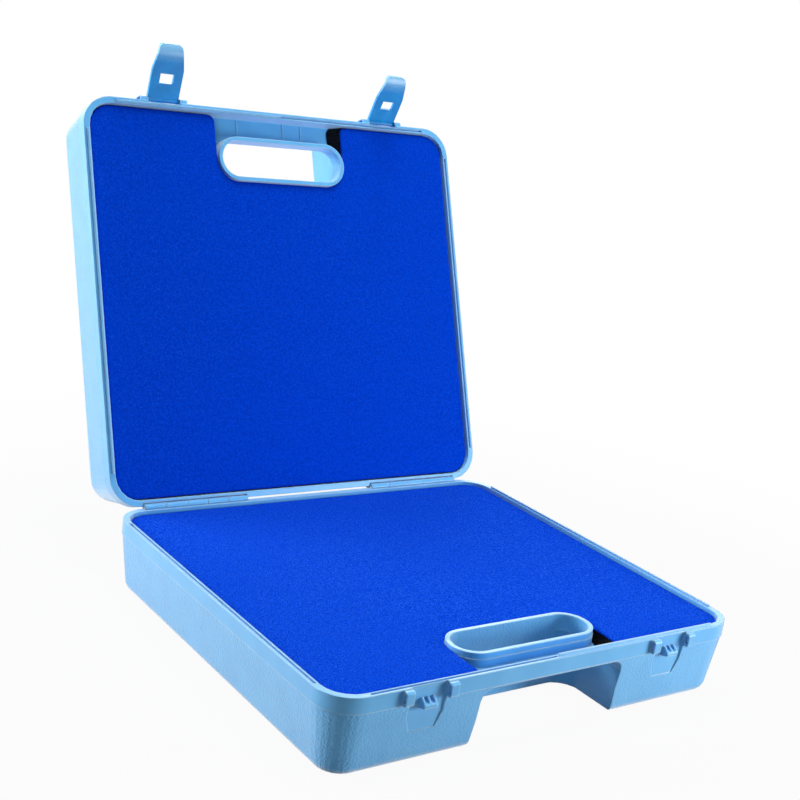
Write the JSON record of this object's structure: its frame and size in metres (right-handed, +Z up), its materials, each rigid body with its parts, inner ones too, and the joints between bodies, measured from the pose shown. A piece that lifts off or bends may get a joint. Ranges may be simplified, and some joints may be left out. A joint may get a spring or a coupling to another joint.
{
  "type": "otoscope carry case",
  "caption": "Hinged carry case of two identical moulded half shells with a through handle, foam filling and snap latches, shown open.",
  "frame": {"origin": "centre of the base half's footprint, on the surface that the case stands on", "axes": "+Z up, +Y from the handle towards the hinge, +X to the right when facing the handle"},
  "size_m": [0.3, 0.4236, 0.3436],
  "materials": {
    "shell_plastic": "moulded leather grain on the walls, smooth band and handle",
    "latch_plastic": "smooth moulded polypropylene",
    "blue_felt": "short-fibre felt face",
    "black_foam": "fine open-cell foam",
    "pin_steel": "drawn wire"
  },
  "bodies": {
    "base": {"base_shell": "shell_plastic", "base_foam_core": "black_foam", "base_foam_face": "blue_felt", "hinge_pin_left": "pin_steel", "hinge_pin_right": "pin_steel"},
    "lid": {"lid_shell": "shell_plastic", "lid_foam_core": "black_foam", "lid_foam_face": "blue_felt"},
    "left_latch": {"latch_left": "latch_plastic"},
    "right_latch": {"latch_right": "latch_plastic"}
  },
  "joints": [
    {"name": "lid_hinge", "type": "hinge", "parent": "base", "child": "lid", "pos_m": [0, 0.1384, 0.0485], "axis": [1, 0, 0], "range_deg": [0, 112]},
    {"name": "left_latch_pivot", "type": "hinge", "parent": "lid", "child": "left_latch", "pos_m": [-0.0905, 0.24585, 0.30444], "axis": [1, 0, 0], "range_deg": [-80, 55]},
    {"name": "right_latch_pivot", "type": "hinge", "parent": "lid", "child": "right_latch", "pos_m": [0.0905, 0.24585, 0.30444], "axis": [1, 0, 0], "range_deg": [-92, 43]}
  ]
}
